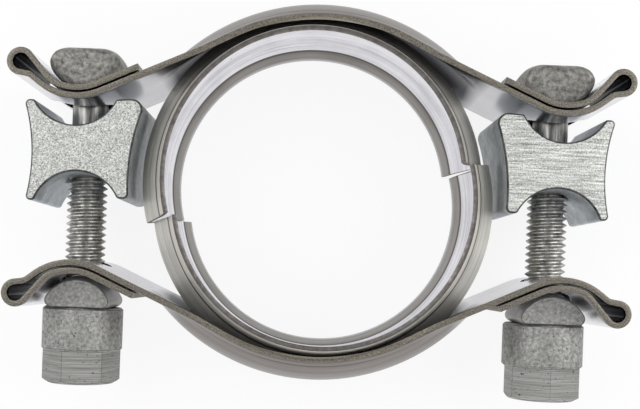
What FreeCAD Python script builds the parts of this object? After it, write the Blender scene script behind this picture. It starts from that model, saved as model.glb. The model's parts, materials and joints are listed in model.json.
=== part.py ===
import math
import os

import FreeCAD, Part
from FreeCAD import Vector

# Two-bolt band clamp for a flared exhaust joint, as it lies loose on a flat surface.
# Millimetres. The bore runs along Z, the bolts run along Y, and the origin is the middle
# of the bore at half its depth. The upper half is the one with the bolt heads (+Y).

# Half rings of channel section that grip the flares.
BORE = 33.4                  # inside radius at both rims
DEPTH = 32.0                 # depth of the half rings and width of the straps, along the bore
RING_SHEET = 1.2             # sheet thickness
LIP_FLARE = 1.5              # how much further out the bend between lip and flank lies
LIP_LENGTH = 5.5             # depth of a lip
RING_RISE = 7.45             # height of the crown's outside over a rim's inside
CROWN_BEND = 5.0             # bend at the crown
KNEE_BEND = 3.0              # bend at the lips
INNER_END = 8.3              # angle of the end that nests inside the other half
OUTER_END = 195.0            # angle of the end that nests outside it
NEST_GAP = 1.5               # sideways gap between a nested end and the end around it
RING_OPEN = 4.2              # how far apart the loose halves lie along the bolts

# Straps. Each one is drawn with its dome towards +Y and its own bore centre at the origin.
SHEET = 1.4                  # strap sheet thickness
BOLT_SPACING = 14.55         # from the crown of a half ring to the middle of a bolt
DOME_PLAY = 0.35             # gap between the crown of a half ring and the dome over it
DOME_EASE = 7.75             # how much larger the dome's ridge radius is than the crown's
DOME_SECTION = 24.0          # outside radius of the dome's curved cross section
DOME_END = 57.0              # where the domed part meets the plain leg, degrees from the top
LEG_SLOPE = 24.3             # fall of a straight leg, degrees
LEG_SINK = 6.31              # how far a leg's middle plane lies inside the dome's ridge radius
CREASE = 1.5                 # height over which the dome runs into the flat leg
LEG_FADE = 0.31              # how fast the leg's plane sinks under the dome, per square radian
TROUGH_BEND = 14.3           # radius of the under side of the trough for a head or a washer
LEAF_GAP = 0.4               # gap between the strap and the leaf folded back over it
LEAF_REACH = 14.2            # how far the folded leaf runs from the trough towards the dome
LEAF_SHOULDER = 200.0        # heading at which the leaf starts to follow the trough, degrees
LEAF_TIGHT = 6.0             # bend of the leaf between the loop and the trough
LOOP_OUT, LOOP_UP = 12.4, 7.95   # middle of the open end loop, from the trough's lowest point
LOOP_RADIUS = 3.2            # outside radius of the loop
LOOP_RISE = 38.0             # slope between the trough and the loop, degrees
LOOP_ENTRY = 8.0             # slope at which the sheet enters the loop, degrees
LOOP_BACKBEND = 3.0          # bend between those two slopes
STRAP_SHIFT = {"upper": (-0.2, 0.2), "lower": (0.35, 0.1)}   # where the loose straps lie

# Bolts, 3/8 inch with 16 threads to the inch.
THREAD_RADIUS = 4.72         # outside of the thread
SHANK_RADIUS = 4.2           # rolled shank above the thread
THREAD_LENGTH = 54.0         # threaded length
POINT = 1.0                  # chamfer at the bolt's end
HEAD_RADIUS = 8.2            # radius of the head's rounded under side
HEAD_HEIGHT = 10.8           # height of the head
HEAD_LENGTH = 19.0           # length of the head along the bore
HEAD_CROWN = 34.0            # radius to which the head's top falls away along its length
HEAD_ROUND = 2.0             # rounding of the head's edges
STRAP_PLAY = 1.28            # radial play of a thread in a strap
BLOCK_PLAY = 0.48            # radial play of a thread in a spacer block
WASHER_PLAY = 0.58           # radial play of a thread in a washer
NUT_PLAY = 0.05              # radial play of a thread in a nut
SEAT_PLAY = 0.05             # gap between pieces that rest on each other along a bolt

# Spacer blocks. The outline is drawn with the bolt at its origin and the bore towards +X.
BLOCK_DEPTH = 26.0           # length along the bore
BLOCK_SHIFT = {"left": -0.2, "right": -0.3}
BLOCK_GAP = 1.9              # from the inner side's narrowest point to a centred half ring
HOLLOW_UNDER_STRAP = 5.1     # height of the upper hollow's centre above the strap's trough
HOLLOW_SHIFT = (-0.7, 0.4)   # sideways place of the upper and the lower hollow
HOLLOW_RADIUS = (10.4, 10.2)         # radius of the upper and the lower hollow
WEB = 10.65                  # least thickness between the hollows
OUTER_TIP = (-12.3, 5.45)            # upper outer corner, from the upper hollow's floor
OUTER_WAIST = (-10.2, -6.85)         # narrowest point of the outer side, from the same floor
OUTER_FOOT = (-11.4, -6.9)           # lower outer corner, from the lower hollow's roof
INNER_FOOT = (-0.35, -5.9)           # lower inner corner, from the inner side and that roof
INNER_WAIST_DROP = 5.35              # the inner side's narrowest point, below the upper floor
INNER_SHOULDER = (3.25, 6.55)        # upper inner corner, from the inner side and that floor
SHOULDER_DROP = 0.5                  # how much lower that shoulder is where the hollow cuts it
OUTSIDE_ROUND = (2.4, 1.0, 1.0, 1.2)     # outside roundings of shoulder, tip, foot and heel
HOLLOW_ROUND = (0.8, 0.7, 0.8, 0.9)      # roundings of the same four towards the hollows

# Washers and nuts.
WASHER_RADIUS = 8.6          # radius of the crowned side
WASHER_ROUND = 1.6           # rounding of the long edges of the flat side
WASHER_SHIFT = {"left": 0.25, "right": 0.1}   # where the loose washers lie
WASHER_HEIGHT = 7.8          # from the crowned side's top to the flat side
WASHER_LENGTH = 18.0         # length along the bore
WASHER_CROWN = 32.0          # radius to which the crowned side falls away along its length
COLLAR_RADIUS = 9.5          # radius of the nut's round collar
COLLAR_HEIGHT = 10.3         # height of the collar
COLLAR_CHAMFER = 0.5         # chamfer on both edges of the collar
HEX_FLATS = 15.875           # width across flats, 5/8 inch
HEX_HEIGHT = 7.8             # height of the hexagon below the collar
HEX_SLOPE = 30.0             # slope of the cone that takes off the hexagon's corners, degrees
HEX_RIM = 0.3                # how far the cone starts inside the flats
HEX_TURN = {"left": -17.3, "right": 0.0}   # angle of a hexagon corner from the bore axis
NUT_OVER = 1.25              # how far a nut reaches past the end of its bolt
SPARE = 2.0                  # how far a cutting tool runs past what it cuts

# What follows from those sizes.
LIP_KNEE = BORE + LIP_FLARE
CROWN_RADIUS = BORE + RING_RISE
RING_SHIFT = (-(RING_SHEET + NEST_GAP) / 2.0, RING_OPEN / 2.0)
BOLT_X = CROWN_RADIUS + BOLT_SPACING
DOME_RIDGE = CROWN_RADIUS + DOME_EASE
DOME_AXIS_Y = CROWN_RADIUS + RING_SHIFT[1] + DOME_PLAY + SHEET - DOME_RIDGE
LEG_DISTANCE = DOME_RIDGE - LEG_SINK
TROUGH_MIDDLE = TROUGH_BEND - SHEET / 2.0
TROUGH_Y = DOME_AXIS_Y + ((LEG_DISTANCE + TROUGH_MIDDLE - BOLT_X * math.sin(math.radians(LEG_SLOPE)))
                          / math.cos(math.radians(LEG_SLOPE)))
TROUGH_FLOOR = TROUGH_Y - TROUGH_BEND
SEAT = TROUGH_FLOOR + 2.0 * SHEET + LEAF_GAP     # bottom of the trough inside the leaf
HEAD_FLOOR = SEAT + STRAP_SHIFT["upper"][1] + SEAT_PLAY
HEAD_TOP = HEAD_FLOOR + HEAD_HEIGHT
WASHER_TOP = -SEAT + STRAP_SHIFT["lower"][1] - SEAT_PLAY
WASHER_FLOOR = WASHER_TOP - WASHER_HEIGHT
COLLAR_TOP = WASHER_FLOOR - SEAT_PLAY
BOLT_END = COLLAR_TOP - COLLAR_HEIGHT - HEX_HEIGHT + NUT_OVER
THREAD_TOP = BOLT_END + THREAD_LENGTH

SIDE = {"left": -1.0, "right": 1.0}


def normal(heading):
    """Unit vector to the left of a heading given in degrees."""
    a = math.radians(heading)
    return Vector(-math.sin(a), math.cos(a), 0)


def along(heading):
    """Unit vector in the direction of a heading given in degrees."""
    a = math.radians(heading)
    return Vector(math.cos(a), math.sin(a), 0)


def bend(centre, radius, start, end):
    """One bend of a sheet's middle line, turning from one heading to another."""
    turn = 1.0 if end > start else -1.0

    def point(heading, shift):
        return centre - normal(heading) * (turn * radius - shift)
    return point, start, end


def ribbon(bends, first, last, thickness):
    """Face of a sheet that runs through the bends, between two given end points."""
    half = thickness / 2.0
    sides = []
    for shift in (-half, half):
        start = first[0] if shift < 0 else first[1]
        edges = []
        here = start
        for point, a, b in bends:
            p, m, q = point(a, shift), point((a + b) / 2.0, shift), point(b, shift)
            if here.distanceToPoint(p) > 1e-6:
                edges.append(Part.makeLine(here, p))
            edges.append(Part.Arc(p, m, q).toShape())
            here = q
        finish = last[0] if shift < 0 else last[1]
        edges.append(Part.makeLine(here, finish))
        sides.append((start, edges, finish))
    caps = [Part.makeLine(sides[0][0], sides[1][0]), Part.makeLine(sides[0][2], sides[1][2])]
    wire = Part.Wire(Part.__sortEdges__(sides[0][1] + sides[1][1] + caps))
    return Part.Face(wire)


def strap_arm():
    """Right leg, trough, open loop and folded leaf of a strap, up to the dome."""
    half = SHEET / 2.0
    trough = Vector(BOLT_X, TROUGH_Y, 0)
    main = TROUGH_MIDDLE
    leaf = main - SHEET - LEAF_GAP
    loop = Vector(BOLT_X + LOOP_OUT, TROUGH_FLOOR + LOOP_UP, 0)
    ring = LOOP_RADIUS - half

    # The small bend between trough and loop touches a line at each of the two slopes.
    n1, n2 = normal(LOOP_RISE), normal(LOOP_ENTRY)
    c1 = trough.dot(n1) - main - LOOP_BACKBEND
    c2 = loop.dot(n2) - ring - LOOP_BACKBEND
    det = n1.x * n2.y - n1.y * n2.x
    back = Vector((c1 * n2.y - c2 * n1.y) / det, (n1.x * c2 - n2.x * c1) / det, 0)

    # The leaf leaves the loop on the line that touches both the loop and its tight bend.
    tight = trough + normal(LEAF_SHOULDER) * (leaf - LEAF_TIGHT)
    gap = tight - loop
    leave = math.degrees(math.atan2(gap.y, gap.x)) % 360.0
    leave += math.degrees(math.asin((ring + LEAF_TIGHT) / gap.Length))

    bends = [
        bend(trough, main, -LEG_SLOPE, LOOP_RISE),
        bend(back, LOOP_BACKBEND, LOOP_RISE, LOOP_ENTRY),
        bend(loop, ring, LOOP_ENTRY, leave),
        bend(tight, LEAF_TIGHT, leave, LEAF_SHOULDER),
        bend(trough, leaf, LEAF_SHOULDER, 180.0 - LEG_SLOPE),
    ]
    spoke = along(90.0 - DOME_END)
    axis = Vector(0, DOME_AXIS_Y, 0)
    first = []
    for shift in (-half, half):
        reach = (LEG_DISTANCE + shift) / spoke.dot(normal(-LEG_SLOPE))
        first.append(axis + spoke * reach)
    back_heading = 180.0 - LEG_SLOPE
    last = []
    for shift in (-half, half):
        q = bends[-1][0](back_heading, shift)
        run = (q.x - BOLT_X + LEAF_REACH) / math.cos(math.radians(LEG_SLOPE))
        last.append(q + along(back_heading) * run)
    face = ribbon(bends, first, last, SHEET)
    face.translate(Vector(0, 0, -DEPTH / 2.0))
    return face.extrude(Vector(0, 0, DEPTH))


def soft_max(a, b, width):
    """The larger of two values, rounded off where they come within width of each other."""
    close = max(width - abs(a - b), 0.0) / width
    return max(a, b) + close * close * width / 4.0


def dome_middle(angle, across):
    """Point of the dome's middle surface: angle from the top, place across the strap."""
    radius = DOME_SECTION - SHEET / 2.0
    centre = DOME_RIDGE - DOME_SECTION
    swing = across / radius
    arc = centre + radius * math.cos(swing)
    off = math.radians(abs(angle) - LEG_SLOPE)
    if off > 0:
        flat = LEG_DISTANCE / math.cos(off)
    else:
        flat = LEG_DISTANCE * (1.0 - LEG_FADE * off * off)
    reach = soft_max(arc, flat, CREASE)
    share = min(max((flat - arc + CREASE) / (2.0 * CREASE), 0.0), 1.0)
    z = (1.0 - share) * radius * math.sin(swing) + share * across
    out = along(90.0 - angle)
    return Vector(0, DOME_AXIS_Y, 0) + out * reach + Vector(0, 0, z)


def net_surface(rows):
    """Smooth surface drawn from a regular net of control points."""
    def knots(count):
        spans = count - 3
        return [float(i) for i in range(spans + 1)], [4] + [1] * (spans - 1) + [4]
    ku, mu = knots(len(rows))
    kv, mv = knots(len(rows[0]))
    surface = Part.BSplineSurface()
    surface.buildFromPolesMultsKnots(rows, mu, mv, ku, kv, False, False, 3, 3)
    return surface.toShape()


def strap_dome():
    """Domed middle of a strap: the sheet bulges over the half ring and dies into the legs."""
    half = SHEET / 2.0
    turns, steps = 26, 12
    angles = [DOME_END * (2.0 * i / turns - 1.0) for i in range(turns + 1)]
    places = [DEPTH * (j / steps - 0.5) for j in range(steps + 1)]
    skins = {half: [], -half: []}
    for a in angles:
        rows = {half: [], -half: []}
        for v in places:
            du = dome_middle(a + 0.05, v) - dome_middle(a - 0.05, v)
            dv = dome_middle(a, v + 0.05) - dome_middle(a, v - 0.05)
            n = dv.cross(du)
            n.normalize()
            if abs(a) == DOME_END:
                # On the end planes the sheet is cut along the spoke, not square to itself.
                n = along(90.0 - a) * (1.0 / math.cos(math.radians(DOME_END - LEG_SLOPE)))
            for shift in rows:
                rows[shift].append(dome_middle(a, v) + n * shift)
        for shift in rows:
            skins[shift].append(rows[shift])
    outer, inner = net_surface(skins[half]), net_surface(skins[-half])
    # Four narrow faces close the sheet's cut edges and its two ends.
    walls = []
    for rim_out in outer.Edges:
        middle = rim_out.valueAt((rim_out.FirstParameter + rim_out.LastParameter) / 2.0)
        rim_in = min(inner.Edges, key=lambda e: e.distToShape(Part.Vertex(middle))[0])
        walls.append(Part.makeRuledSurface(rim_out, rim_in))
    shell = Part.makeShell([outer, inner] + walls)
    shell.sewShape()
    solid = Part.makeSolid(shell)
    if solid.Volume < 0:
        solid.reverse()
    return solid


def bolt_hole(play, x, low, high):
    """Drill for a bolt hole at x, through everything between two heights."""
    return Part.makeCylinder(THREAD_RADIUS + play, high - low + 2.0 * SPARE,
                             Vector(x, low - SPARE, 0), Vector(0, 1, 0))


def strap():
    arm = strap_arm()
    other = arm.mirror(Vector(0, 0, 0), Vector(1, 0, 0))
    body = strap_dome().fuse([arm, other]).removeSplitter()
    for x in (-BOLT_X, BOLT_X):
        body = body.cut(bolt_hole(STRAP_PLAY, x, TROUGH_FLOOR, SEAT))
    return body.Solids[0]


def half_ring():
    """Upper half ring: a bent sheet section turned about the bore."""
    half = RING_SHEET / 2.0
    edge = DEPTH / 2.0
    knee_z = edge - LIP_LENGTH
    knee_r = LIP_KNEE + half
    rim_r = BORE + half
    crown_r = CROWN_RADIUS - half
    lip = math.degrees(math.atan2(rim_r - knee_r, LIP_LENGTH))
    # The flank leaves the knee so that it touches the crown's bend.
    cr = CROWN_BEND - half
    rise, run = crown_r - cr - knee_r, knee_z
    reach = math.hypot(rise, run)
    flank = math.degrees(math.asin(cr / reach) + math.atan2(rise, run))
    # In the section plane X is the radius and Y the depth, so headings turn from +X.
    crown = Vector(crown_r - cr, 0, 0)
    headings = [90.0 + lip, 90.0 - flank]
    n_lip, n_flank = normal(headings[0]), normal(headings[1])
    rim = Vector(rim_r, -edge, 0)
    c1 = rim.dot(n_lip) - KNEE_BEND
    c2 = (crown - n_flank * cr).dot(n_flank) - KNEE_BEND
    det = n_lip.x * n_flank.y - n_lip.y * n_flank.x
    knee = Vector((c1 * n_flank.y - c2 * n_lip.y) / det, (n_lip.x * c2 - n_flank.x * c1) / det, 0)
    low = bend(knee, KNEE_BEND, headings[0], headings[1])
    top = bend(crown, cr, headings[1], 180.0 - headings[1])
    mirrored = Vector(knee.x, -knee.y, 0)
    high = bend(mirrored, KNEE_BEND, 180.0 - headings[1], 180.0 - headings[0])
    first = [Vector(rim_r + half, -edge, 0), Vector(rim_r - half, -edge, 0)]
    last = [Vector(rim_r + half, edge, 0), Vector(rim_r - half, edge, 0)]
    face = ribbon([low, top, high], first, last, RING_SHEET)
    face.rotate(Vector(0, 0, 0), Vector(1, 0, 0), 90)
    face.rotate(Vector(0, 0, 0), Vector(0, 0, 1), INNER_END)
    return face.revolve(Vector(0, 0, 0), Vector(0, 0, 1), OUTER_END - INNER_END)


def turned(shape):
    """The same piece turned half round about the bore."""
    copy = shape.copy()
    copy.rotate(Vector(0, 0, 0), Vector(0, 0, 1), 180)
    return copy


def moved(shape, x, y):
    copy = shape.copy()
    copy.translate(Vector(x, y, 0))
    return copy


def bolt_head():
    """Cross bar that lies in the trough: round below, its top falling away to its ends."""
    middle = HEAD_FLOOR + HEAD_RADIUS
    rise = HEAD_TOP + SPARE - middle
    x = math.sqrt(HEAD_RADIUS ** 2 - rise ** 2)
    left, right = Vector(-x, HEAD_TOP + SPARE, 0), Vector(x, HEAD_TOP + SPARE, 0)
    below = Part.Arc(right, Vector(0, HEAD_FLOOR, 0), left).toShape()
    face = Part.Face(Part.Wire([Part.makeLine(left, right), below]))
    face.translate(Vector(0, 0, -HEAD_LENGTH / 2.0))
    body = face.extrude(Vector(0, 0, HEAD_LENGTH))
    # A drum across the head takes its top down, with the drum's seam on the far side.
    drum = Part.makeCylinder(HEAD_CROWN, 4 * HEAD_RADIUS, Vector(-2 * HEAD_RADIUS, 0, 0), Vector(1, 0, 0))
    drum.rotate(Vector(0, 0, 0), Vector(1, 0, 0), 180)
    drum.translate(Vector(0, HEAD_TOP - HEAD_CROWN, 0))
    body = body.common(drum).Solids[0]
    return body.makeFillet(HEAD_ROUND, body.Edges)


def bolt():
    """Bolt with a cross-bar head: the shank, then the thread's outside as a plain rod."""
    up = Vector(0, 1, 0)
    middle = (HEAD_FLOOR + HEAD_TOP) / 2.0
    shank = Part.makeCylinder(SHANK_RADIUS, middle - THREAD_TOP, Vector(0, THREAD_TOP, 0), up)
    thread = Part.makeCylinder(THREAD_RADIUS, THREAD_LENGTH - POINT, Vector(0, BOLT_END + POINT, 0), up)
    point = Part.makeCone(THREAD_RADIUS - POINT, THREAD_RADIUS, POINT, Vector(0, BOLT_END, 0), up)
    return bolt_head().fuse([shank, thread, point]).removeSplitter()


def hollow_point(centre, radius, y, way):
    """Point of a hollow's arc at a given height, on the side that way points to."""
    return Vector(centre.x + way * math.sqrt(radius ** 2 - (y - centre.y) ** 2), y, 0)


def block():
    """Spacer block for the right bolt: an extruded outline, drilled for the bolt."""
    high_r, low_r = HOLLOW_RADIUS
    high = Vector(HOLLOW_SHIFT[0], TROUGH_FLOOR + HOLLOW_UNDER_STRAP, 0)
    floor = high - Vector(0, high_r, 0)
    roof = Vector(HOLLOW_SHIFT[1], floor.y - WEB, 0)
    low = roof - Vector(0, low_r, 0)
    inner = BOLT_SPACING - BLOCK_GAP

    tip = Vector(OUTER_TIP[0], floor.y + OUTER_TIP[1], 0)
    waist = Vector(OUTER_WAIST[0], floor.y + OUTER_WAIST[1], 0)
    foot = Vector(OUTER_FOOT[0], roof.y + OUTER_FOOT[1], 0)
    heel = Vector(inner + INNER_FOOT[0], roof.y + INNER_FOOT[1], 0)
    side = Vector(inner, floor.y - INNER_WAIST_DROP, 0)
    shoulder = Vector(inner + INNER_SHOULDER[0], floor.y + INNER_SHOULDER[1], 0)
    tip_in = hollow_point(high, high_r, tip.y, -1.0)
    shoulder_in = hollow_point(high, high_r, shoulder.y - SHOULDER_DROP, 1.0)
    foot_in = hollow_point(low, low_r, foot.y, -1.0)
    heel_in = hollow_point(low, low_r, heel.y, 1.0)
    edges = [
        Part.Arc(tip_in, floor, shoulder_in).toShape(), Part.makeLine(shoulder_in, shoulder),
        Part.Arc(shoulder, side, heel).toShape(), Part.makeLine(heel, heel_in),
        Part.Arc(heel_in, roof, foot_in).toShape(), Part.makeLine(foot_in, foot),
        Part.Arc(foot, waist, tip).toShape(), Part.makeLine(tip, tip_in),
    ]
    face = Part.Face(Part.Wire(edges))
    face.translate(Vector(0, 0, -BLOCK_DEPTH / 2.0))
    body = face.extrude(Vector(0, 0, BLOCK_DEPTH))
    rounding = list(zip((shoulder, tip, foot, heel), OUTSIDE_ROUND))
    rounding += zip((shoulder_in, tip_in, foot_in, heel_in), HOLLOW_ROUND)
    for corner, radius in rounding:
        edge = [e for e in body.Edges
                if len(e.Vertexes) == 2 and abs(e.Length - BLOCK_DEPTH) < 1e-6
                and math.hypot(e.CenterOfMass.x - corner.x, e.CenterOfMass.y - corner.y) < 1e-3]
        body = body.makeFillet(radius, edge)
    # The outline has the bore towards +X; the right bolt has it towards -X.
    body = body.mirror(Vector(0, 0, 0), Vector(1, 0, 0))
    return body.cut(bolt_hole(BLOCK_PLAY, 0, foot.y, shoulder.y))


def washer():
    """Half barrel: a round bar bent along its length, flat on the nut's side."""
    section = Part.Face(Part.Wire(Part.makeCircle(WASHER_RADIUS, Vector(0, WASHER_TOP - WASHER_RADIUS, 0))))
    middle = Vector(0, WASHER_TOP - WASHER_CROWN, 0)
    swing = 2.0 * math.degrees(math.asin(WASHER_LENGTH / 2.0 / (WASHER_CROWN - WASHER_RADIUS)))
    section.rotate(middle, Vector(1, 0, 0), -swing)
    bar = section.revolve(middle, Vector(1, 0, 0), 2.0 * swing)
    box = Part.makeBox(2 * WASHER_RADIUS + 2 * SPARE, WASHER_HEIGHT + SPARE, WASHER_LENGTH,
                       Vector(-WASHER_RADIUS - SPARE, WASHER_FLOOR, -WASHER_LENGTH / 2.0))
    body = bar.common(box).Solids[0]
    foot = [e for e in body.Edges
            if abs(e.CenterOfMass.y - WASHER_FLOOR) < 1e-6 and abs(e.CenterOfMass.z) < 1.0]
    body = body.makeFillet(WASHER_ROUND, foot)
    return body.cut(bolt_hole(WASHER_PLAY, 0, WASHER_FLOOR, WASHER_TOP))


def nut(turn):
    """Nut with a round collar above a smaller hexagon, in one piece."""
    start = COLLAR_TOP - COLLAR_HEIGHT
    foot = start - HEX_HEIGHT
    up = Vector(0, 1, 0)
    collar = Part.makeCylinder(COLLAR_RADIUS, COLLAR_HEIGHT, Vector(0, start, 0), up)
    rims = [e for e in collar.Edges if e.Curve.TypeId == "Part::GeomCircle"]
    collar = collar.makeChamfer(COLLAR_CHAMFER, rims)
    corner = HEX_FLATS / math.sqrt(3.0)
    height = HEX_HEIGHT + COLLAR_HEIGHT / 2.0
    ring = []
    for i in range(7):
        a = math.radians(turn + 60.0 * i)
        ring.append(Vector(corner * math.sin(a), foot, corner * math.cos(a)))
    hexagon = Part.Face(Part.makePolygon(ring)).extrude(up * height)
    # A cone takes the corners off the lower face.
    small = HEX_FLATS / 2.0 - HEX_RIM
    large = small + height / math.tan(math.radians(HEX_SLOPE))
    cone = Part.makeCone(small, large, height, Vector(0, foot, 0), up)
    body = collar.fuse(hexagon.common(cone))
    return body.cut(bolt_hole(NUT_PLAY, 0, foot, COLLAR_TOP)).removeSplitter()


def save(name, shape):
    if shape.ShapeType != "Solid":
        shape = shape.Solids[0]
    shape.exportStep("parts/" + name + ".step")
    box = shape.optimalBoundingBox(False, False)
    spans = ["%.2f..%.2f" % span for span in
             ((box.XMin, box.XMax), (box.YMin, box.YMax), (box.ZMin, box.ZMax))]
    print("%-22s volume %9.1f  X %s  Y %s  Z %s  valid %s" % (name, shape.Volume, *spans, shape.isValid()))


def main():
    os.makedirs("parts", exist_ok=True)
    one_strap = strap()
    save("upper_strap", moved(one_strap, *STRAP_SHIFT["upper"]))
    save("lower_strap", moved(turned(one_strap), *STRAP_SHIFT["lower"]))
    ring = moved(half_ring(), *RING_SHIFT)
    save("upper_v_insert", ring)
    save("lower_v_insert", turned(ring))
    one_bolt, one_washer, right_block = bolt(), washer(), block()
    for side, sign in SIDE.items():
        save(side + "_bolt", moved(one_bolt, sign * BOLT_X, 0))
        save(side + "_saddle_washer", moved(one_washer, sign * BOLT_X + WASHER_SHIFT[side], 0))
        save(side + "_collar_nut", moved(nut(HEX_TURN[side]), sign * BOLT_X, 0))
        piece = right_block if side == "right" else right_block.mirror(Vector(0, 0, 0), Vector(1, 0, 0))
        save(side + "_spacer_block", moved(piece, sign * BOLT_X + BLOCK_SHIFT[side], 0))


main()
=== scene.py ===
import json
import math

import bpy
from bpy.props import FloatProperty, FloatVectorProperty, IntProperty, PointerProperty
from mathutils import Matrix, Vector

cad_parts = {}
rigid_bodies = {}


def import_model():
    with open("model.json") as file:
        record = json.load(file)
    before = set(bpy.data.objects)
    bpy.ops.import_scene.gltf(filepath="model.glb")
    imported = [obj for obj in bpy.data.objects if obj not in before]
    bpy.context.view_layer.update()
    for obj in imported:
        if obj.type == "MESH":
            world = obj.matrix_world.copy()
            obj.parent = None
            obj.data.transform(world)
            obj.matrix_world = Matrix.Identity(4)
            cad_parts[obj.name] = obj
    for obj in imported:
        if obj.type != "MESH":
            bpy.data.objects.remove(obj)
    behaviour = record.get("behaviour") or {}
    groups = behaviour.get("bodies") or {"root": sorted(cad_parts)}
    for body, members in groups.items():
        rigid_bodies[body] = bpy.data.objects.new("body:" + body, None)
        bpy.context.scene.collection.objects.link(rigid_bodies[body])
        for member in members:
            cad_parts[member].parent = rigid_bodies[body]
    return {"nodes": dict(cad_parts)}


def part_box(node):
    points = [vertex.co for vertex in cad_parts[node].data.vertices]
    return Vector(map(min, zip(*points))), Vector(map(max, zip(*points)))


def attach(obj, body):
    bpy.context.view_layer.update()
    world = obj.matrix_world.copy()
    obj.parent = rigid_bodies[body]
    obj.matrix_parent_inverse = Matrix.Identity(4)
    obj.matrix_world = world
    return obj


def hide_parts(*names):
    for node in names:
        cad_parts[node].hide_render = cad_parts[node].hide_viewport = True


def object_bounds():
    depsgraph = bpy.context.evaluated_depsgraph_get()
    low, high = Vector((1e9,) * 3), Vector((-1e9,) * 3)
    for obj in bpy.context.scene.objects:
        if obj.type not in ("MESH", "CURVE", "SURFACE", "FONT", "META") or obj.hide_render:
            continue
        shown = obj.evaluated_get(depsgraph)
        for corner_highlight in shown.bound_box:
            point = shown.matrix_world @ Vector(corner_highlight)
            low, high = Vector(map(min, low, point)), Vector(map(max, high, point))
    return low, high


bl_info = {
    "name": "Exhaust Clamp",
    "version": (1, 0, 0),
    "blender": (4, 5, 0),
    "location": "View3D > Sidebar > Clamp",
    "description": "Dresses a two-bolt exhaust clamp that lies loose on a pale floor",
    "category": "Add Mesh",
}

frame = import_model()
cad = frame["nodes"]
cad_low, cad_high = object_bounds()

# The clamp's own frame: the bore runs along Z, the bolts along Y, and the camera looks down on it.
SIDES = ("left", "right")
HALVES = ("upper", "lower")

WELD = 1e-7  # points nearer to each other than this are one
TOUCH = 1e-5  # slack in asking whether an edge lies on an end face
END_FACE = 1e-5  # area that a washer's end faces exceed and its small faces don't
LEVEL = 0.999  # how squarely an end face looks along the bore
SHEET_CORNER = math.radians(50.0)  # corners of a sheet that are sharper than this were sheared
NUT_CORNER = math.radians(25.0)  # corners of a nut that are sharper than this are broken

# Roughness of the rolled sheets, from their dark lines to their light ones, and the lines' depth.
LEG_SHEEN = (0.16, 0.24)
DOME_SHEEN = (0.26, 0.36)
RING_SHEEN = (0.16, 0.26)
STRAP_RELIEF = 0.000004
RING_RELIEF = 0.000005

# Where one look fades into another: across a strap from the end of its leaf, along the bore from the
# ring's knee or rim, and along a bolt from the nut's step.
DOME_FADE = (0.001, -0.010)
# The pocket fade places painted shade in the loops, and the under-dome fade places painted shade under the
# dome.
POCKET_SHADE_FADE = (0.0005, 0.002)
UNDER_DOME_SHADE_FADE = (-0.003, -0.006)
LIP_FADE = (-0.0002, 0.0003)
TOWARDS_RIM_FADE = (-0.0019, 0.0007)
HEXAGON_FADE = (0.0003, -0.0003)

# Surfaces of bare metal: what each one is, its darker colour and its lighter one.
SURFACES = {
    "leg": ("Strap sheet on the legs", (0.70, 0.69, 0.73), (0.90, 0.89, 0.92)),
    # The dome's dark tone is partly its drawn finish and partly a painted dark reflection.
    "dome": ("Drawn outside of a strap's dome", (0.13, 0.115, 0.105), (0.30, 0.275, 0.258)),
    "sheared": ("Sheared edge of a strap", (0.07, 0.062, 0.05), (0.31, 0.288, 0.24)),
    "rim": ("Cut edge of a half ring", (0.11, 0.102, 0.096), (0.22, 0.205, 0.19)),
    "flank": ("Bright inside of a half ring", (0.63, 0.625, 0.66), (0.90, 0.89, 0.92)),
    # The lips' grey is painted shade: a darker copy of the flanks' sheet, where the lips reflect the
    # shadowed floor.
    "lip": ("Inside of a half ring's lips", (0.19, 0.18, 0.165), (0.31, 0.292, 0.275)),
    "back": ("Dull outside of a half ring", (0.50, 0.48, 0.43), (0.80, 0.78, 0.71)),
    "head": ("Forged skin of a bolt's head", (0.12, 0.12, 0.105), (0.385, 0.38, 0.352)),
    "shank": ("Rolled metal of a bolt's shank", (0.10, 0.10, 0.09), (0.50, 0.495, 0.47)),
    "thread": ("Rolled metal of a bolt's thread", (0.22, 0.217, 0.205), (0.70, 0.695, 0.66)),
    "block": ("End face of a spacer block", (0.26, 0.27, 0.25), (0.88, 0.89, 0.85)),
    "block_side": ("Zinc on a block's sides", (0.24, 0.28, 0.31), (0.66, 0.69, 0.71)),
    # The edge colour is zinc darkened as painted shade, for dark outlines along edges; on the nuts it also
    # colours real pits.
    "edge": ("Zinc along the edges of blocks, washers and nuts", (0.04, 0.04, 0.038), (0.16, 0.16, 0.155)),
    "nut": ("Zinc of a collar nut", (0.20, 0.20, 0.185), (0.46, 0.46, 0.44)),
    "washer": ("End face of a saddle washer", (0.22, 0.218, 0.205), (0.42, 0.42, 0.40)),
    "washer_side": ("Zinc on a washer's sides", (0.20, 0.20, 0.185), (0.42, 0.42, 0.40)),
}

# Cut edges: surface, grains in a metre and depth of the relief.
CUT = {"strap_edge": ("sheared", 3000.0, 0.00003), "ring_edge": ("rim", 700.0, 0.00001)}

# Blotched metals: surface, blotches in a metre, roughness in the dark and in the light, share of pits,
# depth of the relief, and how far the blotches are drawn out along the bolt.
BLOTCHED = {
    "forged_head": ("head", 850.0, (0.62, 0.46), 0.37, 0.0001, 1.0),
    "rolled_shank": ("shank", 1400.0, (0.46, 0.34), 0.3, 0.00003, 0.1),
    "rolled_thread": ("thread", 700.0, (0.5, 0.34), 0.3, 0.00003, 1.0),
    "edge_zinc_and_outline_shade": ("edge", 900.0, (0.65, 0.5), 0.3, 0.00003, 1.0),
}

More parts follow.
